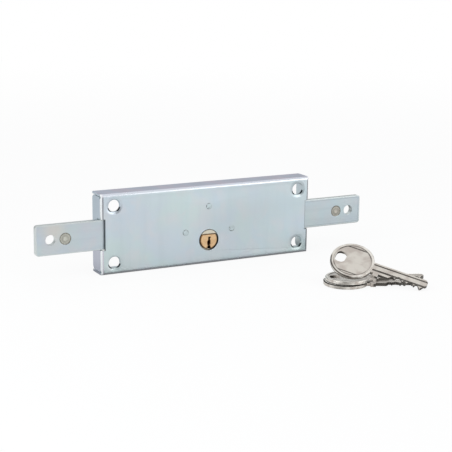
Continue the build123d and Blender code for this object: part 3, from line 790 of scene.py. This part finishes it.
def finish_mesh(shape, name, hard_above=HARD_ABOVE):
    """Ends a shape as a smooth shaded mesh whose edges above an angle stay hard."""
    for face in shape.faces:
        face.smooth = True
    mesh = bpy.data.meshes.new(name)
    shape.to_mesh(mesh)
    shape.free()
    mesh.set_sharp_from_angle(angle=math.radians(hard_above))
    return mesh


def round_edges(shape, edges, width, steps):
    """Rounds some edges of a shape by a width."""
    bmesh.ops.bevel(
        shape, geom=edges, offset=width * MM, offset_type="OFFSET", segments=steps, profile=0.5,
        affect="EDGES", material=-1, clamp_overlap=False, loop_slide=False,
    )


def extent(shape, own_frame):
    """The lowest and highest values of a shape's corners in a frame of its own."""
    spots = [own_frame @ (corner.co / MM) for corner in shape.verts]
    return [[pick(spot[axis] for spot in spots) for axis in range(3)] for pick in (min, max)]


def hold_inside(shape, own_frame, reach):
    """Moves corners back that the rounding has put outside the shape's first extent."""
    low, high = reach
    for corner in shape.verts:
        spot = own_frame @ (corner.co / MM)
        held = Vector([min(max(spot[axis], low[axis]), high[axis]) for axis in range(3)])
        if (held - spot).length > LEAST_MOVE:
            corner.co = (own_frame.inverted() @ held) * MM


def soften(node, edge, material, body, shortest=SHORTEST_EDGE, outline=None,
           own_frame=Matrix.Identity(4)):
    """A copy of a node whose triangles are joined and whose sharp edges are rounded.

    The outline is a test for the edges that are rounded more, and their width."""
    shape = copy_of(node)
    reach = extent(shape, own_frame)
    bmesh.ops.remove_doubles(shape, verts=shape.verts, dist=MERGED_WITHIN * MM)
    bmesh.ops.dissolve_degenerate(shape, dist=shortest * MM, edges=shape.edges[:])
    least_angle = math.radians(ROUNDED_ABOVE)
    sharp = [e for e in shape.edges if e.is_manifold and e.calc_face_angle(0) > least_angle]
    if outline:
        on_outline, width = outline
        outer = [line for line in sharp if on_outline([end.co / MM for end in line.verts])]
        sharp = [line for line in sharp if line not in outer]
        round_edges(shape, outer, width, OUTLINE_STEPS)
        sharp = [line for line in sharp if line.is_valid]
    round_edges(shape, sharp, edge, ROUND_STEPS)
    hold_inside(shape, own_frame, reach)
    many_sided = [face for face in shape.faces if len(face.verts) > 4]
    bmesh.ops.triangulate(shape, faces=many_sided)
    bmesh.ops.dissolve_limit(shape, angle_limit=math.radians(FLAT_WITHIN), edges=shape.edges,
                             delimit={"NORMAL"})
    mesh = finish_mesh(shape, node + "_finished")
    return place_piece(node + "_finished", mesh, material, body, node)


def on_bolt_outline(ends):
    """Whether an edge is on the outline of the part of a bolt that stands out of the case."""
    shown = any(abs(end.x) > CASE_END + 1 for end in ends)
    high, far = BOLT_HALF - OUTLINE_REACH, BOLT_END - OUTLINE_REACH
    return shown and all(abs(end.z) > high or abs(end.x) > far for end in ends)


def on_bow_outline(back):
    """A test for the edges on the round outline of one key's bow."""
    def test(ends):
        own = [back @ end for end in ends]
        return all(math.hypot(end.x, end.y) > BOW_EDGE - 0.1 and end.x < BOW_END for end in own)
    return test


def lathe(outline, x, z):
    """A turned shape from (radius, depth) points, about a line along the depth."""
    shape = bmesh.new()
    corners = []
    for radius, depth in outline:
        corners.append(shape.verts.new(((x + radius) * MM, depth * MM, z * MM)))
    edges = [shape.edges.new(pair) for pair in zip(corners, corners[1:])]
    bmesh.ops.spin(
        shape, geom=corners + edges, cent=(x * MM, 0, z * MM), axis=(0, 1, 0), dvec=(0, 0, 0),
        angle=2 * math.pi, steps=LATHE_STEPS, use_merge=True, use_duplicate=False,
    )
    bmesh.ops.remove_doubles(shape, verts=shape.verts, dist=0.001 * MM)
    bmesh.ops.recalc_face_normals(shape, faces=shape.faces)
    return shape


def make_posts():
    """The three posts, each with the seam of its riveted end."""
    for post, shaded_side in POST_SHADED_SIDES.items():
        seam = post_zinc(post + " zinc", middle(post).x, middle(post).z, shaded_side)
        soften(post, 0.08, seam, "lock_case")


def make_pegs():
    """The bolts' pegs, riveted at the front and chamfered at their free ends."""
    for side in ("left", "right"):
        peg, bolt = side + "_peg", side + "_bolt"
        x, z = middle(peg).x, middle(peg).z
        front, end = low_corner(peg).y, high_corner(peg).y
        bolt_back = high_corner(bolt).y
        outline = [(radius, front + depth) for radius, depth in RIVET_HEAD]
        outline += [
            (SHANK_RADIUS, bolt_back), (PEG_RADIUS - 0.1, bolt_back),
            (PEG_RADIUS, bolt_back + 0.12), (PEG_RADIUS, end - 0.9),
            (PEG_RADIUS - 0.06, end - 0.78), (SHANK_RADIUS + 0.06, end - 0.06),
            (SHANK_RADIUS - 0.08, end), (0, end),
        ]
        mesh = finish_mesh(lathe(outline, x, z), peg + "_finished")
        steel = stud_steel(side + " stud steel", x, z, STUD_MIDDLE[side], STUD_RING[side])
        place_piece(peg + "_finished", mesh, steel, bolt, peg)


def make_keys():
    """The keys. Their corners carry their own place, their tucked side and whether they lean."""
    for key, lies in KEY_PLACES.items():
        back = lies.inverted()
        piece = soften(key, 0.06, KEY_SILVER, key, SHORTEST_COARSE_EDGE,
                       outline=(on_bow_outline(back), 0.5), own_frame=back)
        piece.visible_glossy = False
        values = piece.data.attributes
        values.new("key_place", "FLOAT_VECTOR", "POINT")
        values.new("key_tuck", "FLOAT", "POINT")
        values.new("key_leaning", "FLOAT", "POINT")
        own = [back @ (corner.co / MM) for corner in piece.data.vertices]
        for index, spot in enumerate(own):
            values["key_place"].data[index].vector = spot
            values["key_tuck"].data[index].value = spot.z * TUCKED_SIDE[key]
            values["key_leaning"].data[index].value = KEY_LEANING[key]


def make_springs():
    """The pins' springs, each with a mesh of its own."""
    for number in range(1, PIN_COUNT + 1):
        node, joint = f"pin_spring_{number}", f"driver_pin_{number}_slide"
        name = node + "_finished"
        shape = copy_of(node)
        bmesh.ops.remove_doubles(shape, verts=shape.verts, dist=MERGED_WITHIN * MM)
        mesh = finish_mesh(shape, name, COIL_HARD_ABOVE)
        coil = place_piece(name, mesh, SPRING_STEEL, "lock_case", node)
        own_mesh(coil)


def colour_inner_pieces():
    """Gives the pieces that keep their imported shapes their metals."""
    metals = {"plug_clip": CLIP_STEEL, "pin_caps": PIN_BRASS}
    for number in range(1, PIN_COUNT + 1):
        metals[f"key_pin_{number}"] = PIN_BRASS
        metals[f"driver_pin_{number}"] = PIN_BRASS
    for node, material in metals.items():
        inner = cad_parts[node]
        if not inner.material_slots:
            inner.data.materials.append(material)
        for place in inner.material_slots:
            place.link = "OBJECT"
            place.material = material


soften("case", 0.08, CASE_ZINC, "lock_case", SHORTEST_COARSE_EDGE)
soften("rear_cover", 0.08, COVER_ZINC, "lock_case")
for bolt, metal in (("left_bolt", LEFT_ZINC), ("right_bolt", RIGHT_ZINC)):
    soften(bolt, 0.15, metal, bolt, outline=(on_bolt_outline, 0.35))
soften("plug", 0.05, PLUG_BRASS, "plug")
soften("driver_gear", 0.08, GEAR_ALLOY, "plug")
soften("cylinder_barrel", 0.12, BARREL_BRASS, "lock_case")
soften("cover_screws", 0.08, SCREW_ZINC, "lock_case")
soften("barrel_screws", 0.08, SCREW_ZINC, "lock_case")
make_posts()
make_pegs()
make_keys()
make_springs()
colour_inner_pieces()


# Table, lamps and camera, with lengths in metres
TABLE_HALF = 12
# Patches of the table seen only in the metal's reflections: a painted pool of light, and painted
# shadows under the case and behind the right bolt
PAINTED_LIGHT_PATCH = ((-0.7, -0.15), (-0.18, 0.02), 0.04)
UNDER_CASE_SHADOW = ((-0.078, 0.078), (-0.004, 0.03), 0.004)
BEHIND_RIGHT_SHADOW = ((0.09, 0.5), (-0.02, 0.12), 0.02)


def patch(tree, parts, across, along, soft):
    """A rectangle on the table with soft sides."""
    return times(tree, rise(tree, parts["X"], across[0] - soft, across[0]),
                 fall(tree, parts["X"], across[1], across[1] + soft),
                 rise(tree, parts["Y"], along[0] - soft, along[0]),
                 fall(tree, parts["Y"], along[1], along[1] + soft))


def table_paper():
    """Pale paper that keeps its shadow for the camera, and shows the metal's reflections a painted
    pool of light and painted shadows.
    """
    material = bpy.data.materials.new("table paper")
    material.use_nodes = True
    tree = material.node_tree
    tree.nodes.remove(tree.nodes["Principled BSDF"])
    paper = add(tree, "BsdfDiffuse", {"Color": PAPER})
    white = add(tree, "Emission", {"Color": WHITE, "Strength": 1.0})
    black = add(tree, "Emission", {"Color": BLACK, "Strength": 0.0})
    path = add(tree, "LightPath").outputs
    parts = axes(tree, add(tree, "TexCoord").outputs["Object"])
    away = length_of(tree, X=parts["X"], Y=parts["Y"], Z=parts["Z"])
    seen = times(tree, most(tree, path["Is Camera Ray"], path["Is Transmission Ray"]),
                 ramp(tree, away, 0.3, 1.5, 0.88, 1.0))
    painted_light = times(tree, path["Is Glossy Ray"], most(
        tree, patch(tree, parts, *PAINTED_LIGHT_PATCH), ramp(tree, parts["Y"], -0.2, -0.03, 0.04, 0.22)))
    dark = times(tree, path["Is Glossy Ray"], most(
        tree, patch(tree, parts, *UNDER_CASE_SHADOW), patch(tree, parts, *BEHIND_RIGHT_SHADOW)), 0.6)
    lit = add(tree, "MixShader", {
        0: most(tree, seen, painted_light), 1: paper.outputs[0], 2: white.outputs[0]})
    mixed = add(tree, "MixShader", {0: dark, 1: lit.outputs[0], 2: black.outputs[0]})
    feed(tree, tree.nodes["Material Output"], {"Surface": mixed.outputs[0]})
    return material


def make_table():
    """A wide pale table just under the lock."""
    shape = bmesh.new()
    bmesh.ops.create_grid(shape, x_segments=1, y_segments=1, size=TABLE_HALF)
    bmesh.ops.translate(shape, vec=(0, 0, (TABLE_Z - 0.05) * MM), verts=shape.verts)
    mesh = bpy.data.meshes.new("table")
    shape.to_mesh(mesh)
    shape.free()
    table = bpy.data.objects.new("table", mesh)
    bpy.context.scene.collection.objects.link(table)
    mesh.materials.append(table_paper())


def add_lamp(name, place, aim, size, power):
    """A square soft lamp that looks at a point; its power is in watts."""
    light = bpy.data.lights.new(name, "AREA")
    light.shape = "SQUARE"
    light.size = size
    light.energy = power
    lamp = bpy.data.objects.new(name, light)
    bpy.context.scene.collection.objects.link(lamp)
    lamp.location = place
    lamp.rotation_euler = (Vector(aim) - Vector(place)).to_track_quat("-Z", "Y").to_euler()


def make_studio():
    """Two soft lamps in a pale room whose ceiling is brighter than its walls."""
    add_lamp("left lamp", (-0.62, -0.24, 0.25), (-0.15, -0.03, 0), 0.5, 1.7)
    add_lamp("front lamp", (0.53, -0.72, 0.28), (0.1, -0.2, 0), 0.6, 2.2)
    world = bpy.data.worlds.new("room")
    world.use_nodes = True
    tree = world.node_tree
    toward = axes(tree, add(tree, "TexCoord").outputs["Generated"])
    wall = times(tree, ramp(tree, toward["Y"], -0.6, 0.6, 0.1, 0.52),
                 ramp(tree, toward["X"], 0.7, 1.0, 1.0, 0.75))
    ceiling = rise(tree, toward["Z"], 0.34, 0.56)
    level = plus(tree, wall, times(tree, ceiling, minus(tree, 1.0, wall)))
    feed(tree, tree.nodes["Background"], {"Color": ROOM, "Strength": level})
    bpy.context.scene.world = world


def make_camera():
    """The photograph's camera: a long lens, left of the lock and a little above it."""
    lens = bpy.data.cameras.new("camera")
    lens.sensor_fit = "HORIZONTAL"
    lens.sensor_width = 36.0
    lens.lens = 100.681
    lens.clip_start = 0.01
    lens.clip_end = 60.0
    camera = bpy.data.objects.new("camera", lens)
    bpy.context.scene.collection.objects.link(camera)
    camera.location = Vector((-375.546, -745.159, 188.325)) * MM
    camera.rotation_euler = [math.radians(turn) for turn in (77.2294, -0.6103, -27.3976)]
    bpy.context.scene.camera = camera


make_table()
make_studio()
make_camera()
bpy.context.scene.view_settings.view_transform = "Standard"
